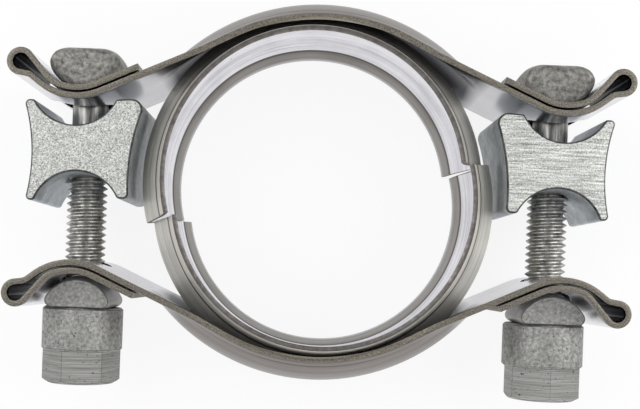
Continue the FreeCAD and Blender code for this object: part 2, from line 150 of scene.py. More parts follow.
# Metals with marked end faces: surfaces of faces and sides, marks in a metre, depth of the relief, and
# how far the marks are drawn out across the clamp.
FACED = {
    "blasted_block": ("block", "block_side", 2800.0, 0.00008, 1.0),
    "sawn_block": ("block", "block_side", 2300.0, 0.00006, 0.06),
    "washer_zinc": ("washer", "washer_side", 1300.0, 0.00008, 1.0),
}
BLOCK_METALS = {"left": "blasted_block", "right": "sawn_block"}

# Lamps: name, place, side and power.
LAMPS = (("lamp_left", (-0.45, 0.25, 0.55), 0.7, 3.2), ("lamp_right", (0.5, 0.15, 0.45), 0.6, 2.6),
         ("lamp_front", (0.0, -0.55, 0.5), 0.7, 1.8))

# Surroundings from the horizon to straight overhead: height and colour.
SKY = ((0.0, (0.95, 0.95, 0.97)), (0.12, (0.9, 0.9, 0.92)), (0.35, (0.55, 0.55, 0.57)),
       (0.62, (0.35, 0.35, 0.37)), (1.0, (0.16, 0.16, 0.17)))


def node_middle(name):
    """Middle of a CAD node's box."""
    low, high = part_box(name)
    return (Vector(low) + Vector(high)) / 2.0


def node_span(name, axis):
    """Lowest and highest place of a CAD node along one axis."""
    low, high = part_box(name)
    return low[axis], high[axis]


def length(label, text, value):
    return FloatProperty(name=label, description=text, default=value, unit="LENGTH", precision=5)


def angle(label, text, degrees):
    return FloatProperty(name=label, description=text, default=math.radians(degrees), subtype="ANGLE")


def plain(label, text, value):
    return FloatProperty(name=label, description=text, default=value)


def pair(label, text, value):
    return FloatVectorProperty(name=label, description=text, default=value, size=2)


def colour(label, text, value):
    return FloatVectorProperty(name=label, description=text, default=value, subtype="COLOR",
                               size=3, min=0.0, max=1.0)


class StrapSizes(bpy.types.PropertyGroup):
    """A strap, drawn with its dome towards +Y and its own bore centre at the origin."""
    sheet: length("Sheet", "Thickness of the strap's sheet", 0.0014)
    width: length("Width", "Width along the bore", 0.032)
    bolt_x: length("Bolt", "Distance of a bolt from the bore's centre", node_middle("right_bolt").x)
    ridge: length("Ridge", "Radius of the dome's ridge", 0.0486)
    axis_y: length("Dome axis", "Height of the axis that the dome turns about", -0.0039)
    section: length("Section", "Outside radius of the dome across the strap", 0.024)
    dome_end: angle("Dome end", "Where the dome meets the plain leg, from the top", 57.0)
    slope: angle("Leg slope", "Fall of a straight leg", 24.3)
    leg: length("Leg", "Distance of a leg's middle plane from the dome's axis", 0.04229)
    fade: plain("Leg fade", "How fast the leg's plane fades into the dome above their meeting", 0.31)
    crease: length("Crease", "Height over which the dome runs into the leg", 0.0015)
    trough: length("Trough", "Radius of the under side of the trough", 0.0143)
    leaf_gap: length("Leaf gap", "Gap between the strap and its folded leaf", 0.0004)
    leaf_reach: length("Leaf reach", "How far the leaf runs towards the dome", 0.0142)
    leaf_shoulder: angle("Leaf shoulder", "Heading where the leaf starts to follow the trough", 200.0)
    leaf_tight: length("Leaf bend", "Bend of the leaf between loop and trough", 0.006)
    loop_out: length("Loop out", "Middle of the loop, outwards from the trough", 0.0124)
    loop_up: length("Loop up", "Middle of the loop, up from the trough's floor", 0.00795)
    loop: length("Loop", "Outside radius of the loop", 0.0032)
    loop_rise: angle("Loop rise", "Slope between the trough and the loop", 38.0)
    loop_entry: angle("Loop entry", "Slope at which the sheet enters the loop", 8.0)
    back_bend: length("Back bend", "Bend between those two slopes", 0.003)
    hole: length("Hole", "Radius of a bolt hole", 0.006)
    draw_line: length("Draw line", "Distance of the fine line on the dome from its edges", 0.0024)
    draw_width: length("Draw line width", "Width of that fine line", 0.0003)
    step: length("Step", "Longest stretch of the sheet between two rows of points", 0.003)
    drill: length("Drill", "Height above the bore's centre that the bolt holes reach", 0.06)
    edge: length("Edge", "Rounding of the sheared edges", 0.00018)


class RingSizes(bpy.types.PropertyGroup):
    """A half ring of channel section that grips the flares."""
    sheet: length("Sheet", "Thickness of the ring's sheet", 0.0012)
    bore: length("Bore", "Inside radius at both rims", 0.0334)
    flare: length("Flare", "How much further out the bend between lip and flank lies", 0.0015)
    lip: length("Lip", "Depth of a lip along the bore", 0.0055)
    rise: length("Rise", "Height of the crown over a rim", 0.00745)
    crown_bend: length("Crown bend", "Outside radius of the bend at the crown", 0.005)
    knee_bend: length("Knee bend", "Middle radius of the bend at a lip", 0.003)
    # The fine line is painted shade in the crease of that bend.
    fold: length("Fold", "Width of the fine line where a lip bends out of the flank", 0.0009)
    step: length("Step", "Longest stretch of the section between two points", 0.0015)
    inner_end: angle("Inner end", "Angle of the end that nests inside the other half", 8.3)
    outer_end: angle("Outer end", "Angle of the end that nests outside it", 195.0)
    edge: length("Edge", "Rounding of the sheared edges", 0.00018)
    turns: IntProperty(name="Steps", description="Steps round the bore", default=150, min=24)


class BoltSizes(bpy.types.PropertyGroup):
    """A bolt with a cross bar for a head, a rolled shank and a thread."""
    thread: length("Thread", "Outside radius of the thread", 0.00472)
    depth: length("Depth", "Depth of the thread", 0.00097)
    pitch: length("Pitch", "Distance from one turn to the next", 0.0015875)
    thread_length: length("Threaded length", "How far the thread reaches up the bolt", 0.054)
    point: length("Point", "Chamfer at the bolt's end", 0.001)
    head_height: length("Head height", "Height of the head", 0.0108)
    head_grain: length("Head mesh", "Size of the faces on the head", 0.00035)
    round_from: length("Round from", "Half width of the flat middle of the head's top", 0.0036)
    round_drop: length("Round drop", "How far the ends of the top fall away", 0.0012)
    steps: IntProperty(name="Steps", description="Steps in one turn of the thread", default=48, min=12)
    slack: length("Slack", "How far the thread's tip lies inside the rod that trims it", 0.0001)
    overlap: length("Overlap", "How far the shank runs into the thread", 0.0004)
    fillet: length("Fillet", "Height of the rounding between head and shank", 0.001)


class EdgeSizes(bpy.types.PropertyGroup):
    """Broken edges of the solid pieces, and the nut's step."""
    block: length("Blocks", "Width of a spacer block's broken edges", 0.0004)
    # That dark line is painted shade.
    washer: length("Washers", "Width of the dark line round a saddle washer's ends", 0.0002)
    nut: length("Nuts", "Width of a collar nut's broken edges", 0.0002)
    hexagon: length("Hexagon", "Height of a collar nut's hexagon", 0.0078)


class PatternSizes(bpy.types.PropertyGroup):
    """How many surface marks go into a metre; two numbers for lines: along them and across."""
    strap_clouds: plain("Strap clouds", "Clouds on a strap's sheet", 60.0)
    strap_lines: pair("Strap lines", "Rolling lines on a strap", (60.0, 2600.0))
    strap_bands: pair("Strap bands", "Drawing streaks on a strap's dome", (8.0, 520.0))
    strap_specks: plain("Strap specks", "Dark specks on a strap", 900.0)
    ring_clouds: plain("Ring clouds", "Clouds on a half ring's sheet", 70.0)
    ring_lines: pair("Ring lines", "Rolling lines on a half ring", (25.0, 1500.0))
    ring_bands: pair("Ring bands", "Broad streaks on a half ring", (12.0, 420.0))
    ring_specks: plain("Ring specks", "Dark specks on a half ring", 600.0)
    nut_clouds: plain("Collar", "Blotches on a nut's collar", 1200.0)
    nut_lines: pair("Hexagon", "Turned lines round a nut's hexagon", (60.0, 5200.0))
    nut_pits: plain("Nut pits", "Pits on a nut", 1500.0)
    zinc_clouds: plain("Zinc clouds", "Clouds on the sides of blocks and washers", 260.0)
    zinc_dust: plain("Zinc dust", "Fine dust on those sides", 1400.0)


class Finishes(bpy.types.PropertyGroup):
    """Colours of the bare metals: those of the surfaces listed above, and three single ones."""
    # Painted shade: a near-black for the sheet inside the loops, under the folded leaves and under the dome.
    pocket_shade: colour("Pocket", "Sheet inside the loops and under the folded leaves", (0.05, 0.052, 0.065))
    # This colour also paints the highlight on the rounded corners of cut edges.
    wear_and_highlight: colour("Worn lip", "Outside of the ring's lips, rubbed bright", (0.74, 0.70, 0.63))
    # The crease colour paints real dark specks, the fine line near the dome's edges, and painted shade along
    # a ring's lip bend.
    crease: colour("Crease", "Fine dark lines and specks of the sheets", (0.10, 0.09, 0.08))


for surface, (what, *tints) in SURFACES.items():
    for tone, tint in zip(("dark", "light"), tints):
        label = f"{surface}, {tone}".replace("_", " ").capitalize()
        Finishes.__annotations__[f"{surface}_{tone}"] = colour(label, f"{what}, in its {tone}er marks", tint)


class StageSizes(bpy.types.PropertyGroup):
    """Camera, floor and lights."""
    eye: FloatVectorProperty(name="Camera", description="Place of the camera", unit="LENGTH",
                             size=3, default=(-0.0035, -0.0203, 0.236))
    roll: angle("Roll", "Turn of the camera about its own line of sight", 2.1)
    focal_px: plain("Focal length", "Focal length in pixels of the photograph", 979.0)
    sight_x: plain("Sight across", "Pixel straight below the camera, from the left", 300.0)
    sight_y: plain("Sight down", "Pixel straight below the camera, from the top", 278.0)
    wide: plain("Picture width", "Width of the photograph in pixels", 640.0)
    high: plain("Picture height", "Height of the photograph in pixels", 409.0)
    floor: length("Floor", "Side of the square floor", 6.0)
    gap: length("Gap", "Gap between the clamp and the floor", 0.00002)
    white: plain("White", "How far camera rays see the floor as plain white", 0.88)
    mirror_white: plain("Mirrored white", "How far mirror and glass rays see it as plain white", 0.6)


def only(obj):
    """Leaves just this object selected and active."""
    bpy.ops.object.select_all(action="DESELECT")
    obj.select_set(True)
    bpy.context.view_layer.objects.active = obj


def named(name):
    """Names the object that was just added."""
    obj = bpy.context.active_object
    obj.name = name
    obj.data.name = name
    return obj


def edit(obj, everything=True):
    """Opens an object's mesh, with all of it selected or just what is marked."""
    only(obj)
    bpy.ops.object.mode_set(mode="EDIT")
    if everything:
        bpy.ops.mesh.select_all(action="SELECT")


def leave():
    bpy.ops.object.mode_set(mode="OBJECT")


def outward(obj):
    """Merges doubles and turns all faces outwards."""
    edit(obj)
    bpy.ops.mesh.remove_doubles(threshold=WELD)
    bpy.ops.mesh.normals_make_consistent(inside=False)
    leave()


def finish_with(obj, kind, **values):
    """Adds a modifier and applies it at once."""
    modifier = obj.modifiers.new(kind.title(), kind)
    for key, value in values.items():
        setattr(modifier, key, value)
    only(obj)
    bpy.ops.object.modifier_apply(modifier=modifier.name)


def combine(obj, tool, operation):
    """Cuts, joins or intersects two closed pieces and removes the tool."""
    finish_with(obj, "BOOLEAN", operation=operation, object=tool, solver="EXACT")
    bpy.data.objects.remove(tool)


def shade(obj, degrees=32.0):
    only(obj)
    bpy.ops.object.shade_smooth_by_angle(angle=math.radians(degrees))


def settle(obj):
    """Takes the object's place into its mesh, so that it sits at the origin."""
    only(obj)
    bpy.ops.object.transform_apply(location=True, rotation=True, scale=True)


def shifted(obj, x, y):
    obj.location = (x, y, 0.0)
    settle(obj)


def twin(obj, name, turn=0.0):
    """Copy with its own mesh, turned about the bore."""
    only(obj)
    bpy.ops.object.duplicate()
    copy = named(name)
    copy.rotation_euler[2] = turn
    settle(copy)
    return copy


def copy_of_node(node, name):
    """Welded copy of a CAD node's mesh."""
    only(cad[node])
    bpy.ops.object.duplicate()
    bpy.ops.object.parent_clear(type="CLEAR_KEEP_TRANSFORM")
    copy = named(name)
    settle(copy)
    bpy.ops.mesh.customdata_custom_splitnormals_clear()
    edit(copy)
    bpy.ops.mesh.remove_doubles(threshold=WELD)
    bpy.ops.mesh.dissolve_limited(angle_limit=math.radians(0.3))
    bpy.ops.mesh.normals_make_consistent(inside=False)
    leave()
    copy.data.materials.clear()
    return copy


def trace(name, start, steps):
    """Wire that begins at a point and goes on step by step, left open for editing."""
    bpy.ops.object.select_all(action="DESELECT")
    bpy.ops.mesh.primitive_plane_add(size=0.001)
    wire = named(name)
    edit(wire)
    bpy.ops.mesh.merge(type="CENTER")
    bpy.ops.transform.translate(value=start)
    for step in steps:
        bpy.ops.mesh.extrude_region_move(TRANSFORM_OT_translate={"value": step})
    return wire


def cylinder(name, radius, x, low, high, sides):
    """Round rod that lies along a bolt, at that bolt's distance from the bore."""
    bpy.ops.object.select_all(action="DESELECT")
    bpy.ops.mesh.primitive_cylinder_add(vertices=sides, radius=radius, depth=high - low,
                                        location=(x, (low + high) / 2.0, 0.0),
                                        rotation=(math.pi / 2.0, 0.0, 0.0))
    rod = named(name)
    settle(rod)
    return rod


def cut_level(obj, height, keep):
    """Cuts a closed piece across the bolts, keeps what is above or below, and fills the cut."""
    edit(obj)
    bpy.ops.mesh.bisect(plane_co=(0.0, height, 0.0), plane_no=(0.0, 1.0, 0.0), use_fill=True,
                        clear_inner=keep == "above", clear_outer=keep == "below", threshold=WELD)
    leave()


def thicken(sheet, sizes, **slots):
    """Gives a middle surface its thickness and rounds the sheared edges."""
    finish_with(sheet, "SOLIDIFY", thickness=sizes.sheet, offset=0.0, use_even_offset=True,
                material_offset_rim=1, **slots)
    finish_with(sheet, "BEVEL", width=sizes.edge, segments=2, limit_method="ANGLE",
                angle_limit=SHEET_CORNER)


def dress(obj, body, node):
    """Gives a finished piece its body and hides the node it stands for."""
    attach(obj, body)
    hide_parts(node)


def dress_halves(blank, ending):
    """Puts a copy of a bent sheet in the place of its node in each half, and removes the sheet."""
    for half in HALVES:
        node = half + ending
        piece = twin(blank, node + "_sheet", 0.0 if half == "upper" else math.pi)
        own = sum((Vector(c) for c in piece.bound_box), Vector()) / 8.0
        shift = node_middle(node) - own
        shifted(piece, shift.x, shift.y)
        dress(piece, half, node)
    bpy.data.objects.remove(blank)


def heading_vector(heading):
    return Vector((math.cos(heading), math.sin(heading)))


def left_of(heading):
    """Unit vector to the left of a heading."""
    return Vector((-math.sin(heading), math.cos(heading)))


def bend_points(centre, radius, start, end, step=math.radians(4.0)):
    """Points of one bend of a sheet's middle line."""
    turn = 1.0 if end > start else -1.0
    count = max(2, math.ceil(abs(end - start) / step))
    headings = [start + (end - start) * i / count for i in range(count + 1)]
    return [centre - left_of(h) * (turn * radius) for h in headings]


def two_tangents(n1, d1, n2, d2):
    """Centre of a bend that touches two lines, from their normals and distances."""
    det = n1.x * n2.y - n1.y * n2.x
    return Vector(((d1 * n2.y - d2 * n1.y) / det, (n1.x * d2 - n2.x * d1) / det))


def leg_meeting(s):
    """Where the middle line of the right leg leaves the dome."""
    spoke = heading_vector(math.pi / 2.0 - s.dome_end)
    return Vector((0.0, s.axis_y)) + spoke * (s.leg / spoke.dot(left_of(-s.slope)))


def arm_line(s):
    """Middle line of the right arm: leg, trough, loop and folded leaf."""
    half = s.sheet / 2.0
    main = s.trough - half
    trough_y = s.axis_y + (s.leg + main - s.bolt_x * math.sin(s.slope)) / math.cos(s.slope)
    trough = Vector((s.bolt_x, trough_y))
    leaf = main - s.sheet - s.leaf_gap
    loop = Vector((s.bolt_x + s.loop_out, trough_y - s.trough + s.loop_up))
    ring = s.loop - half
    n1, n2 = left_of(s.loop_rise), left_of(s.loop_entry)
    back = two_tangents(n1, trough.dot(n1) - main - s.back_bend, n2, loop.dot(n2) - ring - s.back_bend)
    tight = trough + left_of(s.leaf_shoulder) * (leaf - s.leaf_tight)
    gap = tight - loop
    leave_at = math.atan2(gap.y, gap.x) % math.tau + math.asin((ring + s.leaf_tight) / gap.length)
    last = math.pi - s.slope
    line = [leg_meeting(s)]
    line += bend_points(trough, main, -s.slope, s.loop_rise)
    line += bend_points(back, s.back_bend, s.loop_rise, s.loop_entry)
    line += bend_points(loop, ring, s.loop_entry, leave_at)
    line += bend_points(tight, s.leaf_tight, leave_at, s.leaf_shoulder)
    line += bend_points(trough, leaf, s.leaf_shoulder, last)
    run = (line[-1].x - s.bolt_x + s.leaf_reach) / math.cos(s.slope)
    line.append(line[-1] + heading_vector(last) * run)
    return line


def dome_point(s, around, across):
    """Point of the dome's middle surface: angle from the top, place across the strap."""
    radius = s.section - s.sheet / 2.0
    swing = across / radius
    arc = s.ridge - s.section + radius * math.cos(swing)
    off = abs(around) - s.slope
    if off > 0.0:
        flat = s.leg / math.cos(off)
    else:
        flat = s.leg * (1.0 - s.fade * off * off)
    close = max(s.crease - abs(arc - flat), 0.0) / s.crease
    reach = max(arc, flat) + close * close * s.crease / 4.0
    share = min(max((flat - arc + s.crease) / (2.0 * s.crease), 0.0), 1.0)
    z = (1.0 - share) * radius * math.sin(swing) + share * across
    out = heading_vector(math.pi / 2.0 - around)
    return Vector((out.x * reach, s.axis_y + out.y * reach, z))


def split_long(line, longest):
    """The same line with its long straight runs divided."""
    out = [line[0]]
    for a, b in zip(line, line[1:]):
        if (b - a).length < WELD:
            continue
        count = max(1, math.ceil((b - a).length / longest))
        out += [a.lerp(b, i / count) for i in range(1, count + 1)]
    return out


def strap_blank(s):
    """The strap's sheet: a flat blank whose columns are bent to the strap's line."""
    around, across = 60, 24
    arm = split_long(arm_line(s), s.step)[1:]
    dome = [s.dome_end * (2.0 * i / around - 1.0) for i in range(around + 1)]
    columns = len(dome) + 2 * len(arm) - 1
    bpy.ops.object.select_all(action="DESELECT")
    bpy.ops.mesh.primitive_grid_add(x_subdivisions=columns, y_subdivisions=across, size=2.0)
    blank = named("strap_blank")
    place = {}
    mid_line = [Vector((-p.x, p.y)) for p in reversed(arm)]
    mid_line += [dome_point(s, a, 0.0).xy for a in dome]
    mid_line += arm
    run = [0.0]
    for a, b in zip(mid_line, mid_line[1:]):
        run.append(run[-1] + (b - a).length)
    for v in blank.data.vertices:
        i = round((v.co.x + 1.0) / 2.0 * columns)
        z = v.co.y * s.width / 2.0
        place[v.index] = (run[i] - run[-1] / 2.0, z)
        k = i - len(arm)
        if 0 <= k < len(dome):
            v.co = dome_point(s, dome[k], z)
        else:
            v.co = (mid_line[i].x, mid_line[i].y, z)
    layer = blank.data.uv_layers.active.data
    for loop in blank.data.loops:
        layer[loop.index].uv = place[loop.vertex_index]
    outward(blank)
    return blank


class CLAMP_OT_straps(bpy.types.Operator):
    """Bends both straps from flat blanks and drills them"""
    bl_idname = "clamp.straps"
    bl_label = "Straps"

    def execute(self, context):
        s = context.scene.clamp_strap
        sheet = strap_blank(s)
        for metal in (strap_back(), cut_metal("strap_edge"), strap_metal()):
            sheet.data.materials.append(metal)
        if max(sheet.data.polygons, key=lambda f: f.center.y).normal.y < 0.0:
            edit(sheet)
            bpy.ops.mesh.flip_normals()
            leave()
        thicken(sheet, s, material_offset=2)
        for x in (-s.bolt_x, s.bolt_x):
            combine(sheet, cylinder("drill", s.hole, x, 0.0, s.drill, sides=64), "DIFFERENCE")
        outward(sheet)
        shade(sheet)
        dress_halves(sheet, "_strap")
        return {"FINISHED"}


def ring_section(r):
    """Middle line of the ring's channel section, as radius and depth."""
    half = r.sheet / 2.0
    low, high = node_span("upper_v_insert", 2)
    edge = (high - low) / 2.0
    knee_r, rim_r = r.bore + r.flare + half, r.bore + half
    knee_z = edge - r.lip
    crown_r = r.bore + r.rise - half
    bend = r.crown_bend - half
    lip = math.atan2(rim_r - knee_r, r.lip)
    rise = crown_r - bend - knee_r
    flank = math.asin(bend / math.hypot(rise, knee_z)) + math.atan2(rise, knee_z)
    crown = Vector((crown_r - bend, 0.0))
    first, second = math.pi / 2.0 + lip, math.pi / 2.0 - flank
    n1, n2 = left_of(first), left_of(second)
    rim = Vector((rim_r, -edge))
    knee = two_tangents(n1, rim.dot(n1) - r.knee_bend, n2, (crown - n2 * bend).dot(n2) - r.knee_bend)
    line = [rim + heading_vector(first) * half * abs(math.sin(lip))]
    line += bend_points(knee, r.knee_bend, first, second)
    line += bend_points(crown, bend, second, math.pi / 2.0)
    return split_long(line + [Vector((p.x, -p.y)) for p in reversed(line[:-1])], r.step)


class CLAMP_OT_rings(bpy.types.Operator):
    """Spins the channel section into the two half rings"""
    bl_idname = "clamp.rings"
    bl_label = "Half rings"

    def execute(self, context):
        r = context.scene.clamp_ring
        section = [(p.x * math.cos(r.inner_end), p.x * math.sin(r.inner_end), p.y) for p in ring_section(r)]
        steps = [Vector(b) - Vector(a) for a, b in zip(section, section[1:])]
        ring = trace("ring_blank", section[0], steps)
        bpy.ops.mesh.select_all(action="SELECT")
        bpy.ops.mesh.spin(steps=r.turns, angle=r.inner_end - r.outer_end, center=(0, 0, 0), axis=(0, 0, 1))
        leave()
        outward(ring)
        for metal in (ring_metal(), cut_metal("ring_edge")):
            ring.data.materials.append(metal)
        thicken(ring, r)
        shade(ring)
        dress_halves(ring, "_v_insert")
        return {"FINISHED"}


def head_shape(b, cut_height):
    """Forged head and shank, taken from the CAD bolt above one height."""
    head = copy_of_node("left_bolt", "head")
    shifted(head, -node_middle("left_bolt").x, 0.0)
    cut_level(head, cut_height, "above")
    outward(head)
    finish_with(head, "REMESH", mode="VOXEL", voxel_size=b.head_grain)
    top = node_span("left_bolt", 1)[1]
    for v in head.data.vertices:
        if v.co.y > top - b.head_height + b.fillet:
            past = max(abs(v.co.x) - b.round_from, 0.0) / b.round_from
            high = max(v.co.y - top + b.head_height, 0.0) / b.head_height
            v.co.y -= b.round_drop * past * past * high
    finish_with(head, "SMOOTH", factor=0.5, iterations=3)
    return head


def thread_shape(b, low, high):
    """Screw thread between two heights, closed at both ends."""
    root = b.thread - b.depth
    eighth = b.pitch / 8.0
    section = [(root, 0.0), (root, 1.2 * eighth), (b.thread, 4.0 * eighth), (b.thread, 5.2 * eighth),
               (root, 8.0 * eighth)]
    steps = [(q[0] - p[0], q[1] - p[1], 0.0) for p, q in zip(section, section[1:])]
    spare = 2  # turns beyond each end, which the two cuts take away
    thread = trace("thread", (root, low - spare * b.pitch, 0.0), steps)
    leave()
    turns = math.ceil((high - low) / b.pitch) + 2 * spare
    finish_with(thread, "SCREW", axis="Y", angle=math.tau, screw_offset=b.pitch, iterations=turns,
                steps=b.steps, render_steps=b.steps, use_merge_vertices=True, merge_threshold=1e-6)
    outward(thread)
    cut_level(thread, low, "above")
    cut_level(thread, high, "below")
    outward(thread)
    return thread


def pointed_rod(radius, low, high, point):
    """Plain rod along the bolt, its lower end chamfered."""
    rod = cylinder("rod", radius, 0.0, low, high, sides=96)
    for v in rod.data.vertices:
        v.select = v.co.y < (low + high) / 2.0
    for item in (*rod.data.edges, *rod.data.polygons):
        item.select = all(rod.data.vertices[i].select for i in item.vertices)
    edit(rod, everything=False)
    bpy.ops.mesh.bevel(offset=point, segments=1, affect="EDGES")
    leave()
    return rod


def mark_faces(obj, index, test):
    """Gives the faces that pass a test on their middle another material slot."""
    for f in obj.data.polygons:
        if test(f.center):
            f.material_index = index


class CLAMP_OT_bolts(bpy.types.Operator):
    """Builds the bolts: head, rolled shank and a real screw thread"""
    bl_idname = "clamp.bolts"
    bl_label = "Bolts"

    def execute(self, context):
        b = context.scene.clamp_bolt
        low, top = node_span("left_bolt", 1)
        thread_top = low + b.thread_length
        under = top - b.head_height
        bolt = thread_shape(b, low, thread_top)
        rod = pointed_rod(b.thread + b.slack, low, thread_top + b.fillet, b.point)
        combine(bolt, rod, "INTERSECT")
        combine(bolt, head_shape(b, thread_top - b.overlap), "UNION")
        outward(bolt)
        shade(bolt, degrees=28.0)
        for name in ("forged_head", "rolled_shank", "rolled_thread"):
            bolt.data.materials.append(blotched_metal(name))
        reach = b.thread + 2.0 * b.slack
        mark_faces(bolt, 0, lambda c: True)
        mark_faces(bolt, 1, lambda c: c.y < under + b.fillet and math.hypot(c.x, c.z) < reach)
        mark_faces(bolt, 2, lambda c: c.y < thread_top and math.hypot(c.x, c.z) < reach)
        for side in SIDES:
            node = side + "_bolt"
            piece = twin(bolt, node + "_threaded")
            shifted(piece, node_middle(node).x, 0.0)
            dress(piece, "upper", node)
        bpy.data.objects.remove(bolt)
        return {"FINISHED"}


def two_metals(node, metal):
    """Copy of a CAD node in one metal, with a darker one at hand that paints shade along its edges."""
    piece = copy_of_node(node, node + "_finished")
    piece.data.materials.append(metal)
    piece.data.materials.append(blotched_metal("edge_zinc_and_outline_shade"))
    return piece


def mark_outlines(piece):
    """Gives full bevel weight to the edges round the two end faces, and none to the others."""
    low, high = (limit(v.co.z for v in piece.data.vertices) for limit in (min, max))
    weights = piece.data.attributes.new("bevel_weight_edge", "FLOAT", "EDGE")
    for e in piece.data.edges:
        ends = [piece.data.vertices[i].co.z for i in e.vertices]
        weights.data[e.index].value = float(min(ends) > high - TOUCH or max(ends) < low + TOUCH)


def line_ends(piece, width):
    """Sets a narrow band of painted shade apart round each end face."""
    for f in piece.data.polygons:
        f.select = f.area > END_FACE and abs(f.normal.z) > LEVEL
        f.material_index = int(f.select)
    for item in (*piece.data.vertices, *piece.data.edges):
        item.select = False
    edit(piece, everything=False)
    bpy.ops.mesh.select_mode(type="FACE")
    bpy.ops.mesh.inset(thickness=width)
    leave()
    for f in piece.data.polygons:
        if f.select:
            f.material_index = 0


class CLAMP_OT_blocks(bpy.types.Operator):
    """Finishes the spacer blocks with broken edges and two surfaces"""
    bl_idname = "clamp.blocks"
    bl_label = "Spacer blocks"

    def execute(self, context):
        for side in SIDES:
            node = side + "_spacer_block"
            piece = two_metals(node, faced_metal(BLOCK_METALS[side]))
            mark_outlines(piece)
            # The broken edges take the darker metal as painted shade.
            finish_with(piece, "BEVEL", width=context.scene.clamp_edge.block, segments=2, material=1,
                        limit_method="WEIGHT")
            shade(piece, degrees=30.0)
            dress(piece, side + "_block", node)
        return {"FINISHED"}


class CLAMP_OT_washers(bpy.types.Operator):
    """Finishes the half-barrel washers with a dark line of painted shade round their end faces"""
    bl_idname = "clamp.washers"
    bl_label = "Saddle washers"

    def execute(self, context):
        for side in SIDES:
            node = side + "_saddle_washer"
            piece = two_metals(node, faced_metal("washer_zinc"))
            line_ends(piece, context.scene.clamp_edge.washer)
            shade(piece, degrees=30.0)
            dress(piece, "lower", node)
        return {"FINISHED"}


class CLAMP_OT_nuts(bpy.types.Operator):
    """Finishes the collar nuts with broken edges"""
    bl_idname = "clamp.nuts"
    bl_label = "Collar nuts"

    def execute(self, context):
        for side in SIDES:
            node = side + "_collar_nut"
            piece = two_metals(node, nut_metal())
            # The broken edges take the darker metal as painted shade.
            finish_with(piece, "BEVEL", width=context.scene.clamp_edge.nut, segments=2, material=1,
                        limit_method="ANGLE", angle_limit=NUT_CORNER)
            shade(piece, degrees=30.0)
            dress(piece, side + "_nut", node)
        return {"FINISHED"}


def add(tree, kind, values=None, **settings):
    """Adds a shader node with its settings and input values."""
    node = tree.nodes.new(kind)
    for key, value in settings.items():
        setattr(node, key, value)
    for key, value in (values or {}).items():
        node.inputs[key].default_value = value
    return node


def effect(name, inputs, output):
    """Empty node group with named sockets, and its inside nodes where it is new."""
    if name in bpy.data.node_groups:
        return bpy.data.node_groups[name], None, None
    tree = bpy.data.node_groups.new(name, "ShaderNodeTree")
    for label, kind in inputs:
        tree.interface.new_socket(label, in_out="INPUT", socket_type=kind)
    tree.interface.new_socket(output, in_out="OUTPUT", socket_type="NodeSocketFloat")
    return tree, tree.nodes.new("NodeGroupInput"), tree.nodes.new("NodeGroupOutput")


def connect(tree, value, socket):
    """Sets a socket to a number or links a value to it."""
    if isinstance(value, float):
        socket.default_value = value
    else:
        tree.links.new(value, socket)


def ranged(tree, value, low, high, to_low=0.0, to_high=1.0):
    """A value stretched from one range to another, kept inside it."""
    node = add(tree, "ShaderNodeMapRange", {"From Min": low, "From Max": high, "To Min": to_low,
                                            "To Max": to_high}, clamp=True)
    tree.links.new(value, node.inputs["Value"])
    return node.outputs["Result"]


def faded(tree, value, start, fade):
    """0 to 1 over a stretch that is given from a start."""
    return ranged(tree, value, start + fade[0], start + fade[1])


def worked(tree, operation, a, b):
    """Two values, or a value and a number, put through a Math node."""
    node = add(tree, "ShaderNodeMath", operation=operation)
    connect(tree, a, node.inputs[0])
    connect(tree, b, node.inputs[1])
    return node.outputs[0]


def times(tree, a, b):
    return worked(tree, "MULTIPLY", a, b)


def weighted(tree, *parts):
    """Sum of values, each times its own weight."""
    total, *rest = [times(tree, value, weight) for value, weight in parts]
    for part in rest:
        total = worked(tree, "ADD", total, part)
    return total


def mixed(tree, low, high, share):
    """Two values or numbers mixed by a mask."""
    node = add(tree, "ShaderNodeMix")
    connect(tree, low, node.inputs[2])
    connect(tree, high, node.inputs[3])
    tree.links.new(share, node.inputs[0])
    return node.outputs[0]


def shades(surface):
    """Darker and lighter colour of a surface."""
    f = bpy.context.scene.clamp_finish
    return getattr(f, surface + "_dark"), getattr(f, surface + "_light")


def blend(tree, dark, light, share):
    """Two colours, written or linked, mixed by a mask."""
    node = add(tree, "ShaderNodeMix", data_type="RGBA")
    for socket, tint in ((node.inputs[6], dark), (node.inputs[7], light)):
        if isinstance(tint, bpy.types.NodeSocket):
            tree.links.new(tint, socket)
        else:
            socket.default_value = (*tint, 1.0)
    tree.links.new(share, node.inputs[0])
    return node.outputs[2]


def stretched(tree, source, *scale):
    """Coordinates stretched for a pattern that runs one way."""
    mapping = add(tree, "ShaderNodeMapping", {"Scale": scale})
    tree.links.new(source, mapping.inputs["Vector"])
    return mapping.outputs["Vector"]


def axis_value(tree, source, axis):
    """One axis of a coordinate or normal."""
    apart = add(tree, "ShaderNodeSeparateXYZ")
    tree.links.new(source, apart.inputs[0])
    return apart.outputs[axis]


def axis_size(tree, source, axis):
    """How far a coordinate lies from zero along one axis."""
    return worked(tree, "ABSOLUTE", axis_value(tree, source, axis), 0.0)


def line_at(tree, value, place, width):
    """1 where a value is within about half a line's width of a place, with soft sides."""
    apart = worked(tree, "ABSOLUTE", worked(tree, "SUBTRACT", value, place), 0.0)
    return ranged(tree, apart, width * 0.6, width * 0.3)


def mottle_effect():
    """Clouds in one value, from dark 0 to light 1."""
    tree, source, sink = effect("Mottle", [("Vector", "NodeSocketVector"), ("Scale", "NodeSocketFloat")],
                                "Value")
    if source:
        clouds = add(tree, "ShaderNodeTexNoise", {"Detail": 6.0, "Roughness": 0.62})
        for label in ("Vector", "Scale"):
            tree.links.new(source.outputs[label], clouds.inputs[label])
        tree.links.new(ranged(tree, clouds.outputs["Fac"], 0.32, 0.68), sink.inputs["Value"])
    return tree


